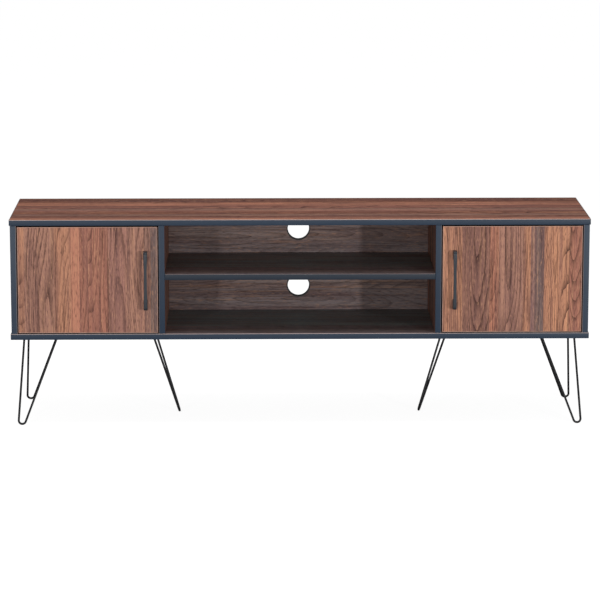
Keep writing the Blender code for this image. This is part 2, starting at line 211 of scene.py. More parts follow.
class StageSettings(bpy.types.PropertyGroup):
    """The studio: floor, lights and camera."""

    floor_colour: linear_setting("Floor", "Colour of the studio floor", (0.4, 0.4, 0.4))
    floor_glow: setting("Floor glow", "Extra brightness of the floor, only to the camera", 0.9, min=0)
    sky: setting("Room light", "Strength of the light from all round", 0.25, min=0)
    reflected_sky: setting("Reflected room", "Strength of the room in reflections", 0.15, min=0)
    key_power: power_setting("Key", "Right-hand lamp", 115)
    fill_power: power_setting("Fill", "Left-hand lamp", 36)
    front_power: power_setting("Front", "Large softbox over the camera", 75)
    top_power: power_setting("Overhead", "Large softbox over the stand", 36)
    key_turn: angle_setting("Key turn", "How far the key stands to the right", 32)
    fill_turn: angle_setting("Fill turn", "How far the fill stands to the left", 27)
    lamp_rise: angle_setting("Lamp rise", "Elevation of the key, the fill and the front softbox", 3)
    camera_side: length_setting("Camera side", "How far right of the middle it stands", -0.119, -10.0)
    camera_distance: length_setting("Camera distance", "From the fronts to the camera", 8.079, 1.0)
    camera_height: length_setting("Camera height", "The camera's height over the floor", 1.866)
    camera_turn: angle_setting("Camera turn", "The camera's turn to the right", 0.84)
    camera_dip: angle_setting("Camera dip", "The camera's tilt below level", 10.57)
    lens: setting("Lens", "Focal length on a 36 mm sensor, in millimetres", 178.6)


class StandSettings(bpy.types.PropertyGroup):
    """All of the stand's settings."""

    finish: PointerProperty(type=FinishSettings)
    sizes: PointerProperty(type=SizeSettings)
    stage: PointerProperty(type=StageSettings)


def settings():
    return bpy.context.scene.tv_stand


# Shader graphs


class Graph:
    """Adds nodes to a tree and links them."""

    def __init__(self, tree):
        self.tree = tree

    def add(self, kind, *values, **options):
        """A node with its options set and its inputs fed in order."""
        made = self.tree.nodes.new(kind)
        for name, value in options.items():
            setattr(made, name, value)
        for socket, value in zip(made.inputs, values):
            self.feed(socket, value)
        return made

    def feed(self, socket, value):
        if isinstance(value, bpy.types.NodeSocket):
            self.tree.links.new(value, socket)
        else:
            socket.default_value = value

    def named(self, node, **values):
        """Feeds a node's inputs by name, with _ where a name has a space."""
        for label, value in values.items():
            self.feed(node.inputs[label.replace("_", " ")], value)
        return node

    def math(self, operation, *values):
        return self.add("ShaderNodeMath", *values, operation=operation).outputs[0]

    def vector(self, x, y, z):
        return self.add("ShaderNodeCombineXYZ", x, y, z).outputs[0]

    def noise(self, vector, scale=1.0, detail=2.0, roughness=0.5):
        made = self.add("ShaderNodeTexNoise", vector)
        return self.named(made, Scale=scale, Detail=detail, Roughness=roughness).outputs[0]

    def dot(self, vector, direction):
        made = self.add("ShaderNodeVectorMath", vector, direction, operation="DOT_PRODUCT")
        return made.outputs["Value"]

    def step(self, value, low, high, start=0.0, end=1.0):
        """A smooth step from start to end as the value goes from low to high."""
        ends = (low, high, start, end)
        return self.add("ShaderNodeMapRange", value, *ends, interpolation_type="SMOOTHSTEP").outputs[0]

    def mix(self, factor, first, second, blend="MIX"):
        made = self.add("ShaderNodeMix", data_type="RGBA", blend_type=blend)
        for index, value in ((0, factor), (6, first), (7, second)):
            if isinstance(value, tuple):
                value = (*value, 1)[:4]
            self.feed(made.inputs[index], value)
        return made.outputs[2]

    def dimmed(self, colour, light):
        """A colour times a grey."""
        return self.mix(1.0, colour, self.vector(light, light, light), blend="MULTIPLY")

    def steps_ramp(self, value, stops):
        """A colour ramp that jumps from one colour to the next at each stop."""
        made = self.add("ShaderNodeValToRGB", value)
        ramp = made.color_ramp
        ramp.interpolation = "CONSTANT"
        while len(ramp.elements) < len(stops):
            ramp.elements.new(1.0)
        for element, (place, colour) in zip(ramp.elements, stops):
            element.position = place
            element.color = (*colour, 1)
        return made.outputs[0]


def surface_group(build, inputs):
    """A surface's shader group, made once, by a function that gives its colour, roughness and height."""
    name = build.__name__
    if name not in bpy.data.node_groups:
        tree = bpy.data.node_groups.new(name, "ShaderNodeTree")
        outputs = {"Color": ("Color",), "Float": ("Roughness", "Height")}
        for way, kinds in (("INPUT", inputs), ("OUTPUT", outputs)):
            for kind, labels in kinds.items():
                for label in labels:
                    tree.interface.new_socket(label, in_out=way, socket_type=f"NodeSocket{kind}")
        graph = Graph(tree)
        given = graph.add("NodeGroupInput").outputs
        graph.add("NodeGroupOutput", *build(graph, given))
    return bpy.data.node_groups[name]


WALNUT_INPUTS = {
    "Float": ("Across", "Along", "Depth", "Seed", "Figure", "Shade"),
    "Color": ("Tone", "Line Colour", "Dark Streak", "Pale Streak"),
}


def walnut_print(graph, given):
    """Printed walnut: growth lines, streaks, fibres and pores that run along one direction."""
    across, along, depth, seed = (given[i] for i in range(4))
    line, dark, pale = given["Line Colour"], given["Dark Streak"], given["Pale Streak"]
    offset = graph.math("MULTIPLY", seed, 37.0)
    sideways = graph.math("ADD", across, graph.math("MULTIPLY", depth, 0.6))

    def stretched(across_scale, along_scale, shift, detail, roughness=0.5):
        """Noise drawn out along the grain."""
        place = graph.vector(
            graph.math("MULTIPLY", sideways, across_scale),
            graph.math("MULTIPLY", along, along_scale),
            graph.math("ADD", offset, shift),
        )
        return graph.noise(place, 1.0, detail, roughness)

    # Growth lines: a slow wander across the board, cut into rings and broken up along the grain
    wander = stretched(9.0, 1.1, 0.0, 1.0, 0.35)
    streaks = stretched(150.0, 3.0, 5.0, 3.0, 0.6)
    drift = graph.math("MULTIPLY", sideways, 50.0)
    rings = graph.math("ADD", graph.math("MULTIPLY", wander, 30.0), drift)
    rings = graph.math("ADD", rings, graph.math("MULTIPLY", streaks, 0.35))
    lines = graph.math("POWER", graph.math("FRACT", rings), 4.0)
    patchy = graph.step(stretched(30.0, 3.0, 9.0, 1.0), 0.25, 0.50)
    lines = graph.math("MULTIPLY", graph.math("MULTIPLY", lines, patchy), given["Figure"])
    broad = stretched(42.0, 1.5, 3.0, 3.0, 0.55)
    clouds = stretched(26.0, 4.0, 13.0, 3.0, 0.6)
    flecks = stretched(430.0, 62.0, 15.0, 2.0)
    bend = graph.math("ABSOLUTE", graph.math("SUBTRACT", stretched(75.0, 1.3, 17.0, 2.0), 0.5))
    veins = graph.step(bend, 0.028, 0.0)
    fibres = stretched(520.0, 9.0, 7.0, 2.0, 0.6)
    pores = graph.step(stretched(900.0, 38.0, 11.0, 1.0), 0.66, 0.76)

    # Colour, in layers from the plank's tone up to the pores
    layers = (
        (graph.step(broad, 0.56, 0.30, 0.0, 0.55), dark),
        (graph.step(streaks, 0.50, 0.28, 0.0, 0.5), dark),
        (graph.step(streaks, 0.52, 0.78, 0.0, 0.6), pale),
        (graph.step(clouds, 0.50, 0.25, 0.0, 0.5), dark),
        (graph.math("MULTIPLY", lines, 0.9), line),
        (graph.math("MULTIPLY", veins, 0.5), line),
        (graph.step(flecks, 0.52, 0.76, 0.0, 0.6), line),
        (graph.step(flecks, 0.45, 0.24, 0.0, 0.5), pale),
        (graph.math("MULTIPLY", pores, 0.45), line),
    )
    colour = given["Tone"]
    for cover, tone in layers:
        colour = graph.mix(cover, colour, tone)
    grey = graph.math("MULTIPLY", graph.math("MULTIPLY_ADD", fibres, 0.5, 0.75), given["Shade"])
    rough = graph.math("MULTIPLY_ADD", fibres, 0.16, 0.46)
    rough = graph.math("MULTIPLY_ADD", pores, 0.15, rough)
    relief = graph.math("MULTIPLY_ADD", lines, -0.5, graph.math("MULTIPLY", fibres, 0.5))
    return graph.dimmed(colour, grey), rough, graph.math("SUBTRACT", relief, pores)


GRAIN_INPUTS = {
    "Vector": ("Vector",),
    "Float": ("Pebbles per Metre", "Base Roughness", "Mottle"),
    "Color": ("Colour",),
}


def fine_grain(graph, given):
    """A fine pebbled surface, for powder coat, edge bands and moulded plastic."""
    place = graph.add("ShaderNodeVectorMath", given["Vector"], operation="SCALE")
    graph.feed(place.inputs["Scale"], given["Pebbles per Metre"])
    pebbles = graph.noise(place.outputs[0], 1.0, 2.0)
    clouds = graph.noise(given["Vector"], 22.0, 3.0)
    change = graph.math("MULTIPLY", graph.math("SUBTRACT", clouds, 0.5), given["Mottle"])
    light = graph.math("ADD", graph.math("MULTIPLY", change, 2.0), 1.0)
    light = graph.math("ADD", light, graph.math("MULTIPLY_ADD", pebbles, 0.12, -0.06))
    rough = graph.math("ADD", given["Base Roughness"], change)
    return graph.dimmed(given["Colour"], light), graph.math("MULTIPLY_ADD", pebbles, 0.1, rough), pebbles


BRUSHED_INPUTS = {"Vector": ("Vector",), "Float": ("Base Roughness",), "Color": ("Colour",)}


def brushed_lines(graph, given):
    """Fine drawn lines, for plated and zinc-coated steel."""
    drawn = (2600.0, 140.0, 2600.0)
    place = graph.add("ShaderNodeVectorMath", given["Vector"], drawn, operation="MULTIPLY")
    lines = graph.noise(place.outputs[0], 1.0, 2.0)
    smudges = graph.noise(given["Vector"], 60.0, 2.0)
    light = graph.math("MULTIPLY_ADD", lines, 0.2, 0.9)
    rough = graph.math("MULTIPLY_ADD", lines, 0.12, given["Base Roughness"])
    return graph.dimmed(given["Colour"], light), graph.math("MULTIPLY_ADD", smudges, 0.1, rough), lines


def new_material(name, **values):
    """A material with these values on its Principled shader, and its (material, graph, shader)."""
    made = bpy.data.materials.new(name)
    made.use_nodes = True
    graph = Graph(made.node_tree)
    return made, graph, graph.named(made.node_tree.nodes["Principled BSDF"], **values)


def surface(graph, shader, build, inputs, bump_height, **fed):
    """Feeds a surface group's inputs and joins it to a shader, with its height as bump."""
    group = graph.add("ShaderNodeGroup", node_tree=surface_group(build, inputs))
    found = graph.named(group, **fed).outputs
    bump = graph.add("ShaderNodeBump")
    graph.named(bump, Strength=0.5, Distance=bump_height, Height=found["Height"])
    graph.named(shader, Base_Color=found["Color"], Roughness=found["Roughness"], Normal=bump.outputs[0])


def planked_walnut(name, across, along, start, planks, shade=1.0, seed=0.0, sheen=0.15):
    """Walnut print in planks. across and along are axes, and start is where the first plank begins."""
    finish = settings().finish
    made, graph, shader = new_material(name, Specular_IOR_Level=sheen)
    coordinates = graph.add("ShaderNodeTexCoord").outputs["Object"]
    split = graph.add("ShaderNodeSeparateXYZ", coordinates)
    depth = next(axis for axis in "XYZ" if axis not in (across, along))
    total = sum(width for _, width, _ in planks) * MM
    place = graph.math("DIVIDE", graph.math("SUBTRACT", split.outputs[across], start), total)
    tones, traits = [], []
    reached = 0.0
    for index, (tone, width, figure) in enumerate(planks):
        tones.append((reached, srgb(*TONES[tone])))
        traits.append((reached, ((seed + SEED_STEP * index) % 1.0, figure, 0.0)))
        reached += width * MM / total
    trait = graph.add("ShaderNodeSeparateColor", graph.steps_ramp(place, traits))
    surface(
        graph, shader, walnut_print, WALNUT_INPUTS, PRINT_RELIEF,
        Across=split.outputs[across],
        Along=split.outputs[along],
        Depth=split.outputs[depth],
        Seed=trait.outputs[0],
        Figure=trait.outputs[1],
        Tone=graph.steps_ramp(place, tones),
        Line_Colour=(*finish.line_colour, 1),
        Dark_Streak=(*finish.dark_streak, 1),
        Pale_Streak=(*finish.pale_streak, 1),
        Shade=shade,
    )
    return made


def painted_arris_highlight(graph, colour, pale, direction):
    """The colour of a front band with a painted highlight: its long arris on one side is painted paler, where
    light would catch the rounding.
    """
    normal = graph.add("ShaderNodeTexCoord").outputs["Normal"]
    side, front = graph.dot(normal, direction), graph.dot(normal, (0, -1, 0))
    # Mask of the painted highlight: rounded faces that lean to the given side and to the front.
    arris = graph.math("MULTIPLY", graph.step(side, 0.12, 0.3), graph.step(front, 0.05, 0.2))
    return graph.mix(arris, colour, pale)


def door_rim_highlight_and_shade(graph, colour, pale, low, high):
    """The colour of a door's banding: a pale painted highlight in front, and dark painted shade along its arris
    and on its other faces, in the gaps round the door.
    """
    coordinates = graph.add("ShaderNodeTexCoord")
    front = graph.dot(coordinates.outputs["Normal"], (0, -1, 0))
    place = graph.add("ShaderNodeSeparateXYZ", coordinates.outputs["Object"])
    insets = []
    for axis in (0, 2):
        middle, half = (low[axis] + high[axis]) / 2, (high[axis] - low[axis]) / 2
        offset = graph.math("ABSOLUTE", graph.math("SUBTRACT", place.outputs[axis], middle))
        insets.append(graph.math("SUBTRACT", half, offset))
    # The outermost strip of the front stays dark: painted shade at the gap's edge.
    arris_start, arris_end = 0.0006, 0.0009
    inset = graph.step(graph.math("MINIMUM", *insets), arris_start, arris_end)
    return graph.mix(graph.math("MULTIPLY", graph.step(front, 0.3, 0.7), inset), colour, pale)


def grained(name, colour, roughness, metallic=0.0, pebbles=900.0, tint=None):
    """Powder coat, edge band or plastic. tint makes its colour from the graph and the plain colour."""
    made, graph, shader = new_material(name, Metallic=metallic, Specular_IOR_Level=0.3)
    surface(
        graph, shader, fine_grain, GRAIN_INPUTS, PEBBLE_RELIEF,
        Vector=graph.add("ShaderNodeTexCoord").outputs["Object"],
        Pebbles_per_Metre=pebbles,
        Colour=tint(graph, tuple(colour)) if tint else (*colour, 1),
        Base_Roughness=roughness,
        Mottle=0.12,
    )
    return made


def plated(name, colour, roughness):
    made, graph, shader = new_material(name, Metallic=1.0)
    surface(
        graph, shader, brushed_lines, BRUSHED_INPUTS, BRUSH_RELIEF,
        Vector=graph.add("ShaderNodeTexCoord").outputs["Object"],
        Colour=(*colour, 1),
        Base_Roughness=roughness,
    )
    return made


def shared(name, make, *values, **more):
    """The material of this name, made once."""
    return bpy.data.materials.get(name) or make(name, *values, **more)


def band_finish():
    return shared("charcoal_band", grained, settings().finish.band_colour, 0.42, pebbles=700.0)


def front_band_with_highlight(name, direction, strength=1.0, colour=None):
    """Charcoal with a painted highlight along its arris on one side, at full or part strength."""
    finish = settings().finish
    colour = colour or finish.band_colour
    pale = tuple(c + (p - c) * strength for c, p in zip(colour, finish.band_arris))

    def tint(graph, plain):
        return painted_arris_highlight(graph, plain, pale, direction)

    return shared(name, grained, colour, 0.42, pebbles=700.0, tint=tint)


def door_band_light_and_shade(door):
    """A door's banding, with a painted highlight in front and painted shade round its arris and sides."""
    finish = settings().finish
    low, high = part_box(door)

    def tint(graph, plain):
        return door_rim_highlight_and_shade(graph, plain, tuple(finish.door_edge_highlight), low, high)

    return grained(f"{door}_edge_band", finish.door_side, 0.5, pebbles=700.0, tint=tint)


def leg_finish():
    return shared("black_powder_coat", grained, settings().finish.leg_colour, 0.4, metallic=0.2)


def handle_finish():
    return shared("handle_powder_coat", grained, settings().finish.handle_colour, 0.36, metallic=0.3)


def nickel_finish():
    return shared("nickel_plate", plated, srgb(200, 198, 192), 0.2)


def zinc_finish():
    return shared("zinc_plate", plated, srgb(186, 186, 182), 0.3)


def brown_plastic():
    return shared("brown_plastic", grained, srgb(78, 56, 46), 0.45, pebbles=1500.0)


# Black plastic used only for the cable-hole sleeves, as painted shade.
def black_plastic():
    return shared("black_plastic", grained, srgb(34, 33, 34), 0.45, pebbles=1500.0)


# Pieces


def finish_node(name, material):
    """Gives a node of the frame its finish."""
    for slot in frame["nodes"][name].material_slots:
        slot.material = material


def piece(name, bm, smooth_degrees, material, body=CARCASS, replaces=()):
    """Makes a bmesh a finished piece on a body, smooth where it bends by less than an angle."""
    bmesh.ops.recalc_face_normals(bm, faces=bm.faces)
    mesh = bpy.data.meshes.new(name)
    bm.to_mesh(mesh)
    bm.free()
    mesh.shade_smooth()
    mesh.set_sharp_from_angle(angle=math.radians(smooth_degrees))
    mesh.materials.append(material)
    obj = bpy.data.objects.new(name, mesh)
    bpy.context.scene.collection.objects.link(obj)
    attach(obj, body)
    if replaces:
        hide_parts(*replaces)
    return obj


def add_box(bm, low, high):
    """Adds a box between two corners to a bmesh."""
    low, high = Vector(low), Vector(high)
    shape = Matrix.Translation((low + high) / 2) @ Matrix.Diagonal((*(high - low), 1))
    bmesh.ops.create_cube(bm, size=1.0, matrix=shape)


def turned(bm, profile, place, segments=24):
    """Adds a turned solid to a bmesh. The profile's points are (radius, height); place is a matrix."""
    verts = [bm.verts.new(place @ Vector((radius, 0, height))) for radius, height in profile]
    edges = [bm.edges.new(pair) for pair in zip(verts, verts[1:])]
    circle = {"angle": 2 * math.pi, "steps": segments, "use_merge": True}
    axis = place.to_3x3() @ Vector((0, 0, 1))
    bmesh.ops.spin(bm, geom=verts + edges, cent=place.translation, axis=axis, **circle)
    bmesh.ops.remove_doubles(bm, verts=bm.verts, dist=WELD_DISTANCE)


def add_loft(bm, rings):
    """Adds a solid through rings of points, each with as many points as the last, with flat ends."""
    rings = [[bm.verts.new(point) for point in ring] for ring in rings]
    for first, second in zip(rings, rings[1:]):
        for i in range(len(first)):
            j = (i + 1) % len(first)
            bm.faces.new((first[i], first[j], second[j], second[i]))
    bm.faces.new(rings[0])
    bm.faces.new(rings[-1])


def facing(point, direction):
    """A matrix at a point whose +Z looks along a direction."""
    return Matrix.Translation(point) @ Vector(direction).to_track_quat("Z", "Y").to_matrix().to_4x4()


def add_screw(bm, point, direction, head_radius=0.0036, head_height=0.0019):
    """A pan-headed screw's head with a cross recess, seated at a point and facing a direction."""
    place = facing(point, direction)
    rim, recess, dish = head_height * 0.45, head_height * 0.35, head_radius * 0.5
    profile = [(0, recess), (dish * 0.35, recess), (dish, head_height * 0.97)]
    profile += [(head_radius * 0.78, head_height * 0.9), (head_radius, rim)]
    profile += [(head_radius, 0.0), (0, 0.0)]
    turned(bm, profile, place, 20)
    arm = Matrix.Diagonal((dish * 1.9, dish * 0.34, head_height * 0.28, 1))
    lift = Matrix.Translation((0, 0, recess + head_height * 0.25))
    for turn in (0, math.pi / 2):
        spin = Matrix.Rotation(turn, 4, "Z")
        bmesh.ops.create_cube(bm, size=1.0, matrix=place @ lift @ spin @ arm)


def screws_piece(name, seats, body, material=None, **sizes):
    """One piece that holds like screws on one body. seats is a list of (point, direction)."""
    bm = bmesh.new()
    for point, direction in seats:
        add_screw(bm, point, direction, **sizes)
    piece(name, bm, 40, material or zinc_finish(), body)


def band(name, low, high, material=None):
    """A charcoal edge band between two corners, with its edges rounded."""
    thinnest = min(b - a for a, b in zip(low, high))
    rounding = min(settings().sizes.band_round, thinnest * 0.8)
    bm = bmesh.new()
    add_box(bm, low, high)
    shape = {"segments": 4, "profile": 0.5, "clamp_overlap": True}
    bmesh.ops.bevel(bm, geom=bm.edges[:], offset=rounding, affect="EDGES", **shape)
    piece(name, bm, 50, material or band_finish())


# Operators


class TVSTAND_OT_boards(bpy.types.Operator):
    """Prints walnut on the boards of the carcass"""

    bl_idname = "tvstand.boards"
    bl_label = "Boards"

    def execute(self, context):
        finish = context.scene.tv_stand.finish
        low = BOTTOM_HIGH.z
        # The shelf, floor, dividers and backs get darker copies of the walnut print: painted shade in the bays.
        dark, darkest = finish.shelf_painted_shade, finish.upright_painted_shade
        top = planked_walnut("walnut_top", "Y", "X", FRONT, TOP_PLANKS, finish.top_painted_light, 0.11)
        floor = planked_walnut("walnut_shelf", "Y", "X", FRONT, SHELF_PLANKS, dark, 0.53, sheen=0.6)
        outer = planked_walnut("walnut_side", "Y", "Z", FRONT, SIDE_PLANKS, 1.0, 0.29)
        inner = planked_walnut("walnut_upright", "Y", "Z", FRONT, SIDE_PLANKS, darkest, 0.71)
        back = planked_walnut("walnut_back", "Z", "X", low, BACK_PLANKS, finish.back_painted_shade, 0.17)
        finish_node("top_panel", top)
        for name in ("bottom_panel", "centre_shelf"):
            finish_node(name, floor)
        for side in SIDES:
            finish_node(f"{side}_side_panel", outer)
            finish_node(f"{side}_divider", inner)
            finish_node(f"{side}_back_panel", back)
        for level in LEVELS:
            finish_node(f"{level}_centre_back", back)
        return {"FINISHED"}


class TVSTAND_OT_edge_bands(bpy.types.Operator):
    """Bands the boards' front, rear and end edges in charcoal"""

    bl_idname = "tvstand.edge_bands"
    bl_label = "Edge bands"

    def execute(self, context):
        sizes = context.scene.tv_stand.sizes
        proud, deep = sizes.band_proud, sizes.band_depth
        cover = 0.0001
        finish = context.scene.tv_stand.finish
        outer_lit_colour, shelf_shaded_colour = finish.outer_band_lit_colour, finish.shelf_band_shaded_colour
        # Each front band gets a painted highlight along one arris; strength sets how pale it is.
        upward = front_band_with_highlight("charcoal_band_upper_arris", (0, 0, 1))
        fronts = {"top_panel": upward, "bottom_panel": upward}
        # The shelf's front band takes the darker, painted-shade copy of the charcoal and a faint painted
        # highlight.
        fronts["centre_shelf"] = front_band_with_highlight("charcoal_band_shelf", (0, 0, 1), 0.3, shelf_shaded_colour)
        for side, sign in SIDES.items():
            name = f"charcoal_band_{side}_outer_board"
            # The side panels' front bands use the lighter, painted-light copy of the charcoal.
            fronts[f"{side}_side_panel"] = front_band_with_highlight(name, (-sign, 0, 0), 0.4, outer_lit_colour)
            name = f"charcoal_band_{side}_divider"
            fronts[f"{side}_divider"] = front_band_with_highlight(name, (sign, 0, 0), 0.3)
        for name, front in fronts.items():
            low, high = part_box(name)
            upright = "side" in name or "divider" in name
            grow = Vector((cover, 0, 0)) if upright else Vector((0, 0, cover))
            places = {
                "front": (low.x, high.x, low.y - proud, low.y + deep),
                "rear": (low.x, high.x, high.y - deep, high.y + proud),
            }
            if name in ("top_panel", "bottom_panel"):
                near, far = low.y + deep, high.y - deep
                places["left"] = (low.x - proud, low.x + deep, near, far)
                places["right"] = (high.x - deep, high.x + proud, near, far)
            for where, (left, right, near, far) in places.items():
                start = Vector((left, near, low.z)) - grow
                end = Vector((right, far, high.z)) + grow
                band(f"{name}_{where}_band", start, end, front if where == "front" else None)
        return {"FINISHED"}


class TVSTAND_OT_doors(bpy.types.Operator):
    """Prints upright walnut planks on the doors"""

    bl_idname = "tvstand.doors"
    bl_label = "Doors"

    def execute(self, context):
        planks = {"left": LEFT_DOOR_PLANKS, "right": RIGHT_DOOR_PLANKS}
        for side, seed in (("left", 0.23), ("right", 0.64)):
            name = f"{side}_door"
            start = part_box(name)[0].x
            finish_node(name, planked_walnut(f"walnut_{name}", "X", "Z", start, planks[side], 1.0, seed))
            self.edges(name)
        return {"FINISHED"}

    def edges(self, name):
        """The thin banding round a door's four edges: two full-height strips, and two between them."""
        low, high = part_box(name)
        wide = settings().sizes.door_band
        cover = Vector((0.00015,) * 3)
        bm = bmesh.new()
        for axis in (0, 2):
            for at_high_end in (False, True):
                near, far = low - cover, high + cover
                if at_high_end:
                    near[axis] = high[axis] - wide
                else:
                    far[axis] = low[axis] + wide
                if axis == 2:
                    near.x += wide
                    far.x -= wide
                add_box(bm, near, far)
        bmesh.ops.bevel(bm, geom=bm.edges[:], offset=0.0006, segments=3, affect="EDGES")
        piece(f"{name}_edge_banding", bm, 50, door_band_light_and_shade(name), name)


class TVSTAND_OT_handles(bpy.types.Operator):
    """Makes the bow handles, wide at the feet and slim along the bar"""

    bl_idname = "tvstand.handles"
    bl_label = "Handles"

    def execute(self, context):
        for side in SIDES:
            name = f"{side}_handle"
            low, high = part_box(name)
            bm = self.bow(low, high)
            label, door = f"{side}_bow_handle", f"{side}_door"
            obj = piece(label, bm, 40, handle_finish(), door, replaces=(name,))
            bevel = obj.modifiers.new("rounded_edges", "BEVEL")
            bevel.width = 0.0014
            bevel.segments = 3
            bevel.limit_method = "ANGLE"
            bevel.angle_limit = math.radians(40)
            bevel.harden_normals = True
        return {"FINISHED"}

    def bow(self, low, high):
        """A loft of four-cornered sections, foot to middle: (outer point, inner point, half width)."""
        sizes = settings().sizes
        middle = (low + high) / 2
        reach, half = high.y - low.y, (high.z - low.z) / 2
        bar, clear = sizes.handle_bar, half - sizes.handle_foot
        outer, inner = 0.0075, 0.005
        wide, slim = (high.x - low.x) / 2 + 0.0005, 0.0040
        neck = reach - bar - inner
        sections = [((0, half), (0, clear), wide), ((neck, half), (neck, clear), wide)]
        turns = 7
        for i in range(turns + 1):
            angle = math.pi / 2 * (1 - i / turns)
            cosine, sine = math.cos(angle), math.sin(angle)
            outside = (reach - outer + outer * cosine, half - outer + outer * sine)
            inside = (reach - bar - inner + inner * cosine, clear - inner + inner * sine)
            sections.append((outside, inside, wide - 0.0004 * i / turns))
        for drop, width in ((0.004, wide - 0.0006), (0.014, slim + 0.0004), (0.022, slim)):
            height = clear - inner - drop
            sections.append(((reach, height), (reach - bar, height), width))
        mirrored = [((a[0], -a[1]), (b[0], -b[1]), w) for a, b, w in reversed(sections)]
        rings = []
        for outside, inside, width in sections + mirrored:
            corners = ((outside, -width), (outside, width), (inside, width), (inside, -width))
            rings.append([(middle.x + x, high.y - p[0], middle.z + p[1]) for p, x in corners])
        bm = bmesh.new()
        add_loft(bm, rings)
        return bm


class TVSTAND_OT_cable_holes(bpy.types.Operator):
    """Lines the two cable holes with a thin black sleeve, a dark piece standing for the shade on the holes' walls
    """

    bl_idname = "tvstand.cable_holes"
    bl_label = "Cable holes"

    def execute(self, context):
        holes = {o["name"]: o["box_m"] for o in frame["record"]["physics"]["openings"]}
        radius, wall, lip, lip_reach = 0.0318, 0.0011, 0.0007, 0.0021
        for level in LEVELS:
            low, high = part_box(f"{level}_centre_back")
            hole_low, hole_high = holes[f"{level}_cable_hole"]
            centre = Vector(((hole_low[0] + hole_high[0]) / 2, low.y, (hole_low[2] + hole_high[2]) / 2))
            depth = high.y - low.y
            profile = [(radius, lip * 0.2), (radius + lip_reach, lip * 0.2)]
            profile += [(radius + lip_reach * 0.8, lip), (radius - wall * 0.6, lip)]
            profile += [(radius - wall, 0.0), (radius - wall, -depth)]
            profile += [(radius, -depth), (radius, lip * 0.2)]
            # The sleeve's black is painted shade: it darkens the hole's wall, which would lie in shade.
            bm = bmesh.new()
            turned(bm, profile, facing(centre, (0, -1, 0)), 72)
            piece(f"{level}_cable_hole_shade_sleeve", bm, 35, black_plastic())
        return {"FINISHED"}


class TVSTAND_OT_legs(bpy.types.Operator):
    """Bends the six hairpin legs, welds them to their plates and screws the plates on"""

    bl_idname = "tvstand.legs"
    bl_label = "Hairpin legs"

    def execute(self, context):
        sizes = context.scene.tv_stand.sizes
        for side, sign in SIDES.items():
            for row in ("front", "rear", "middle"):
                self.leg(f"{side}_{row}", sign, row, sizes)
        return {"FINISHED"}

    def leg(self, name, sign, row, sizes):
        rod = sizes.rod_radius
        low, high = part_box(f"{name}_leg")
        plate_low, plate_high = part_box(f"{name}_leg_plate")
        underside = plate_low.z
        outer = high.x if sign > 0 else low.x
        inner = low.x if sign > 0 else high.x
        if row == "middle":
            across = Vector((0, 1, 0))
            foot = Vector((inner + sign * rod, (low.y + high.y) / 2, rod))
            reach = (high.y - low.y) / 2 - rod * 0.97
            tops = (-reach, reach)
            slope = Vector((outer - sign * rod * 0.95 - foot.x, 0, 0))
        else:
            across = Vector((-sign, 0, 0))
            front = row == "front"
            foot_y = low.y + rod if front else high.y - rod
            top_y = high.y - rod * 0.94 if front else low.y + rod * 0.94
            foot = Vector((outer - sign * (sizes.foot_bend + rod), foot_y, rod))
            tops = (0.0042, abs(foot.x - inner) - rod * 0.94)
            slope = Vector((0, top_y - foot_y, 0))
        rise = Vector((slope.x, slope.y, underside - foot.z))
        points = hairpin(across, foot, rise, tops, sizes.foot_bend)
        tube = rod_along(points, rod, sizes.rod_sides)
        piece(f"{name}_hairpin", tube, 50, leg_finish(), replaces=(f"{name}_leg",))
        finish_node(f"{name}_leg_plate", leg_finish())
        self.welds(name, (points[:2], points[-1:-3:-1]), rod, underside)
        self.screws(name, plate_low, plate_high)

    def welds(self, name, ends, rod, underside):
        """A rippled fillet of weld round each rod where it meets the plate."""
        bm = bmesh.new()
        ripples, segments = 9, 36
        for top, below in ends:
            axis = (Vector(top) - Vector(below)).normalized()
            rings = []
            for drop, spread in ((0.0, 0.0034), (0.0012, 0.0027), (0.0026, 0.0012), (0.0040, 0.0)):
                centre = Vector(top) - axis * (drop / axis.z)
                ring = []
                for i in range(segments):
                    angle = 2 * math.pi * i / segments
                    ripple = 1 + 0.14 * math.sin(ripples * angle + 0.6 * math.sin(3 * angle))
                    radius = rod * 0.97 + spread * ripple
                    x, y = radius * math.cos(angle), radius * math.sin(angle)
                    ring.append((centre.x + x, centre.y + y, underside - drop))
                rings.append(ring)
            add_loft(bm, rings)
        piece(f"{name}_leg_welds", bm, 50, leg_finish())

    def screws(self, name, low, high):
        margin = 0.007
        seats = []
        for x in (low.x + margin, high.x - margin):
            for y in (low.y + margin, high.y - margin):
                seats.append((Vector((x, y, low.z)), (0, 0, -1)))
        screws_piece(f"{name}_leg_screws", seats, CARCASS, material=leg_finish(), head_radius=0.0044)


# Where the hinges' screws and rivets sit
ARM_RISE = 0.0093  # from the mounting plate's free face to the arm's
WING_THICKNESS = 0.002
WING_SCREW_BACK = 0.013  # from the mounting plate's front end
WING_SCREW_LIFT = 0.0205  # above and below the hinge's middle
CUP_EAR_BACK = 0.0175  # from the stand's front to the cup's ears
CUP_SCREW_LIFT = WING_SCREW_LIFT * 1.27
LINK_ARC = 0.021  # from the door's swing axis to the link's rivets


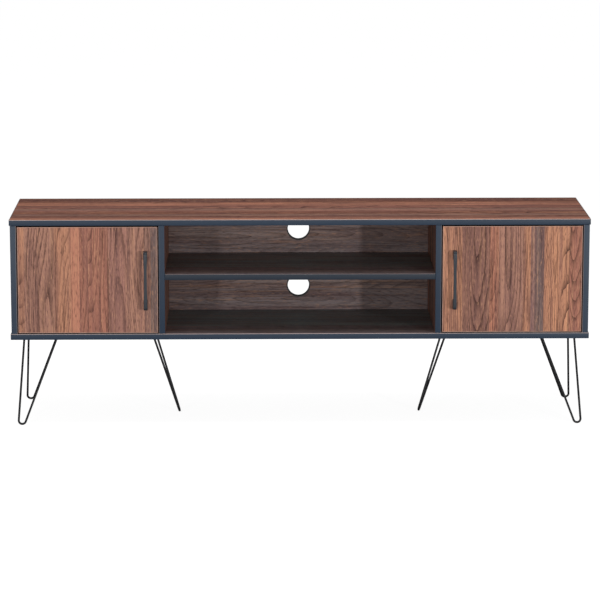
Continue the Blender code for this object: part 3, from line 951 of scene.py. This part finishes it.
class TVSTAND_OT_hinges(bpy.types.Operator):
    """Plates the concealed hinges and adds their screws, adjusters and rivets"""

    bl_idname = "tvstand.hinges"
    bl_label = "Hinges"

    def execute(self, context):
        for side, sign in SIDES.items():
            arm_screws, plate_screws, cup_screws, rivets = [], [], [], []
            for level in LEVELS:
                name = f"{side}_{level}_hinge"
                for part in ("cup", "link", "arm", "mounting_plate"):
                    finish_node(f"{name}_{part}", nickel_finish())
                arm_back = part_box(f"{name}_arm")[1].y
                plate_low, plate_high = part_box(f"{name}_mounting_plate")
                cup_middle = sum(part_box(f"{name}_cup"), Vector()) / 2
                inward = Vector((-sign, 0, 0))
                faces = (plate_low.x, plate_high.x)
                plate_face, board_face = faces if sign > 0 else reversed(faces)
                middle = (plate_low.z + plate_high.z) / 2
                for back in (0.020, 0.045):
                    seat = Vector((plate_face - sign * ARM_RISE, arm_back - back, middle))
                    arm_screws.append((seat, inward))
                wing_face = board_face - sign * WING_THICKNESS
                wing = Vector((wing_face, plate_low.y + WING_SCREW_BACK, middle))
                ear = Vector((cup_middle.x, FRONT + CUP_EAR_BACK, cup_middle.z))
                for end in (-1, 1):
                    plate_screws.append((wing + Vector((0, 0, end * WING_SCREW_LIFT)), inward))
                    cup_screws.append((ear + Vector((0, 0, end * CUP_SCREW_LIFT)), (0, 1, 0)))
                self.rivets(rivets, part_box(f"{name}_link")[1].z, sign, side)
            screws_piece(f"{side}_hinge_arm_screws", arm_screws, CARCASS, head_radius=0.0034)
            screws_piece(f"{side}_hinge_plate_screws", plate_screws, CARCASS, head_radius=0.0040)
            screws_piece(f"{side}_hinge_cup_screws", cup_screws, f"{side}_door", head_radius=0.0036)
            bm = bmesh.new()
            for point in rivets:
                profile = [(0, 0.0005), (0.0009, 0.0004), (0.0013, 0.0), (0, 0.0)]
                turned(bm, profile, facing(point, (0, 0, 1)), 16)
            links = f"{side}_hinge_links"
            piece(f"{side}_hinge_rivets", bm, 35, nickel_finish(), links)
        return {"FINISHED"}

    def rivets(self, found, link_top, sign, side):
        """Two rivet heads on a link's upper face, on its arc about the door's swing axis."""
        axis = next(j for j in frame["joints"] if j["name"] == f"{side}_door_swing")["pos_m"]
        for degrees in (30, 90):
            angle = math.radians(degrees)
            x = axis[0] - sign * LINK_ARC * math.cos(angle)
            found.append(Vector((x, axis[1] + LINK_ARC * math.sin(angle), link_top)))


class TVSTAND_OT_fittings(bpy.types.Operator):
    """Finishes the catches and handle screws, and adds the cam lock covers inside the cabinets"""

    bl_idname = "tvstand.fittings"
    bl_label = "Fittings"

    def execute(self, context):
        for side, sign in SIDES.items():
            finish_node(f"{side}_magnetic_catch", brown_plastic())
            finish_node(f"{side}_strike_plate", nickel_finish())
            for level in LEVELS:
                finish_node(f"{side}_handle_{level}_screw", zinc_finish())
            self.covers(f"{side}_side_panel", -sign)
            self.covers(f"{side}_divider", sign)
            self.catch_faces(side)
        return {"FINISHED"}

    def covers(self, board, direction):
        """Round plastic caps over the cam locks near a board's top and bottom."""
        low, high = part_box(board)
        face = high.x if direction > 0 else low.x
        from_end, near, far = 0.034, 0.105, 0.310
        profile = [(0, 0.0009), (0.0012, 0.0009), (0.0014, 0.0005), (0.0020, 0.0005), (0.0022, 0.0010)]
        profile += [(0.0068, 0.0009), (0.0080, 0.0005), (0.0083, 0.0), (0, 0.0)]
        bm = bmesh.new()
        for z in (low.z + from_end, high.z - from_end):
            for y in (FRONT + near, FRONT + far):
                turned(bm, profile, facing(Vector((face, y, z)), (direction, 0, 0)), 32)
        piece(f"{board}_cam_covers", bm, 35, brown_plastic())

    def catch_faces(self, side):
        """The two steel bars that frame a catch's magnet, flush in its front."""
        low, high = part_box(f"{side}_magnetic_catch")
        bm = bmesh.new()
        thick, end_gap, side_gap = 0.0018, 0.003, 0.006
        for z in (low.z + end_gap, high.z - end_gap - thick):
            near = Vector((low.x + side_gap, low.y - 0.0001, z))
            far = Vector((high.x - side_gap, low.y + 0.0011, z + thick))
            add_box(bm, near, far)
        bmesh.ops.bevel(bm, geom=bm.edges[:], offset=0.0002, segments=2, affect="EDGES")
        piece(f"{side}_catch_bars", bm, 40, nickel_finish())


class TVSTAND_OT_stage(bpy.types.Operator):
    """Lays the floor, sets the lights and places the camera"""

    bl_idname = "tvstand.stage"
    bl_label = "Stage"

    def execute(self, context):
        stage = context.scene.tv_stand.stage
        self.floor(stage)
        self.room(context.scene, stage)
        low = stage.lamp_rise
        lamps = (  # name, power, turn, rise, distance, width and height
            ("key", stage.key_power, stage.key_turn, low, 6.0, (0.2, 0.3)),
            ("fill", stage.fill_power, -stage.fill_turn, low, 4.5, (0.2, 0.25)),
            ("front", stage.front_power, 0.0, low, 7.0, (3.0, 1.0)),
            ("overhead", stage.top_power, 0.0, math.radians(84), 3.0, (3.0, 1.2)),
        )
        for lamp in lamps:
            self.softbox(*lamp)
        self.camera(context.scene, stage)
        context.scene.view_settings.view_transform = "Standard"
        return {"FINISHED"}

    def floor(self, stage):
        values = {"Roughness": 0.9, "Specular_IOR_Level": 0.1, "Emission_Strength": stage.floor_glow}
        made, graph, shader = new_material("studio_floor", **values)
        place = graph.add("ShaderNodeTexCoord").outputs["Object"]
        tone = graph.step(graph.noise(place, 1.5, 3.0), 0.0, 1.0, 0.97, 1.0)
        colour = graph.dimmed(tuple(stage.floor_colour), tone)
        seen = graph.add("ShaderNodeLightPath").outputs["Is Camera Ray"]
        graph.named(shader, Base_Color=colour, Emission_Color=seen)
        bm = bmesh.new()
        bmesh.ops.create_grid(bm, x_segments=8, y_segments=8, size=40.0)
        mesh = bpy.data.meshes.new("studio_floor")
        bm.to_mesh(mesh)
        bm.free()
        mesh.materials.append(made)
        floor = bpy.data.objects.new("studio_floor", mesh)
        bpy.context.scene.collection.objects.link(floor)

    def room(self, scene, stage):
        """Even light from all round, which the camera sees as white."""
        world = bpy.data.worlds.new("studio_room")
        scene.world = world
        world.use_nodes = True
        graph = Graph(world.node_tree)
        background = world.node_tree.nodes["Background"]
        background.inputs["Color"].default_value = (1, 1, 1, 1)
        rays = graph.add("ShaderNodeLightPath").outputs
        dimmed = graph.math("MULTIPLY", rays["Is Glossy Ray"], stage.reflected_sky - stage.sky)
        strength = graph.math("MULTIPLY_ADD", rays["Is Camera Ray"], 1.0 - stage.sky, stage.sky)
        strength = graph.math("ADD", strength, dimmed)
        graph.feed(background.inputs["Strength"], strength)

    def softbox(self, name, power, turn, rise, distance, size):
        light = bpy.data.lights.new(f"{name}_softbox", "AREA")
        light.shape = "RECTANGLE"
        light.size, light.size_y = size
        light.energy = power
        target = Vector((0, FRONT, (BOTTOM_LOW.z + TOP_HIGH.z) / 2))
        level = math.cos(rise)
        away = Vector((math.sin(turn) * level, -math.cos(turn) * level, math.sin(rise)))
        obj = bpy.data.objects.new(f"{name}_softbox", light)
        obj.location = target + away * distance
        obj.rotation_euler = away.to_track_quat("Z", "Y").to_euler()
        bpy.context.scene.collection.objects.link(obj)

    def camera(self, scene, stage):
        data = bpy.data.cameras.new("camera")
        data.lens = stage.lens
        data.clip_end = 100
        obj = bpy.data.objects.new("camera", data)
        obj.location = (stage.camera_side, FRONT - stage.camera_distance, stage.camera_height)
        obj.rotation_euler = (math.pi / 2 - stage.camera_dip, 0, -stage.camera_turn)
        scene.collection.objects.link(obj)
        scene.camera = obj


def hairpin(across, foot, rise, tops, bend):
    """The middle line of a hairpin rod: down from one top, round the foot's bend and up to the other."""
    lean = rise.length
    upward = rise.normalized()
    centre = Vector((0.0, bend))
    touches = []
    for top, turn in zip(tops, (1, -1)):
        away = Vector((top, lean)) - centre
        touches.append(math.atan2(away.y, away.x) + turn * math.acos(bend / away.length))
    start, end = touches
    if end < start:
        end += 2 * math.pi
    steps = 24
    flat = [(tops[0], lean)]
    for i in range(steps + 1):
        angle = start + (end - start) * i / steps
        flat.append((centre.x + bend * math.cos(angle), centre.y + bend * math.sin(angle)))
    flat.append((tops[1], lean))
    return [foot + across * a + upward * b for a, b in flat]


def rod_along(points, radius, sides):
    """A bmesh of a round rod along a line of points, with flat ends."""
    side = None
    rings = []
    for i, point in enumerate(points):
        before = points[max(i - 1, 0)]
        after = points[min(i + 1, len(points) - 1)]
        along = (after - before).normalized()
        if side is None:
            side = along.orthogonal().normalized()
        side = (side - along * side.dot(along)).normalized()
        up = along.cross(side)
        ring = []
        for k in range(sides):
            angle = 2 * math.pi * k / sides
            ring.append(point + (side * math.cos(angle) + up * math.sin(angle)) * radius)
        rings.append(ring)
    bm = bmesh.new()
    add_loft(bm, rings)
    return bm


OPERATORS = (
    TVSTAND_OT_boards,
    TVSTAND_OT_edge_bands,
    TVSTAND_OT_doors,
    TVSTAND_OT_handles,
    TVSTAND_OT_cable_holes,
    TVSTAND_OT_legs,
    TVSTAND_OT_hinges,
    TVSTAND_OT_fittings,
    TVSTAND_OT_stage,
)


class TVSTAND_PT_panel(bpy.types.Panel):
    """Lists the stand's steps"""

    bl_label = "TV Stand"
    bl_space_type = "VIEW_3D"
    bl_region_type = "UI"
    bl_category = "TV Stand"

    def draw(self, context):
        for step in OPERATORS:
            self.layout.operator(step.bl_idname)


CLASSES = (FinishSettings, SizeSettings, StageSettings, StandSettings, *OPERATORS, TVSTAND_PT_panel)


def register():
    for made in CLASSES:
        bpy.utils.register_class(made)
    bpy.types.Scene.tv_stand = PointerProperty(type=StandSettings)


def unregister():
    del bpy.types.Scene.tv_stand
    for made in reversed(CLASSES):
        bpy.utils.unregister_class(made)


def main():
    register()
    for step in OPERATORS:
        group, action = step.bl_idname.split(".")
        getattr(getattr(bpy.ops, group), action)()


if __name__ == "__main__":
    main()
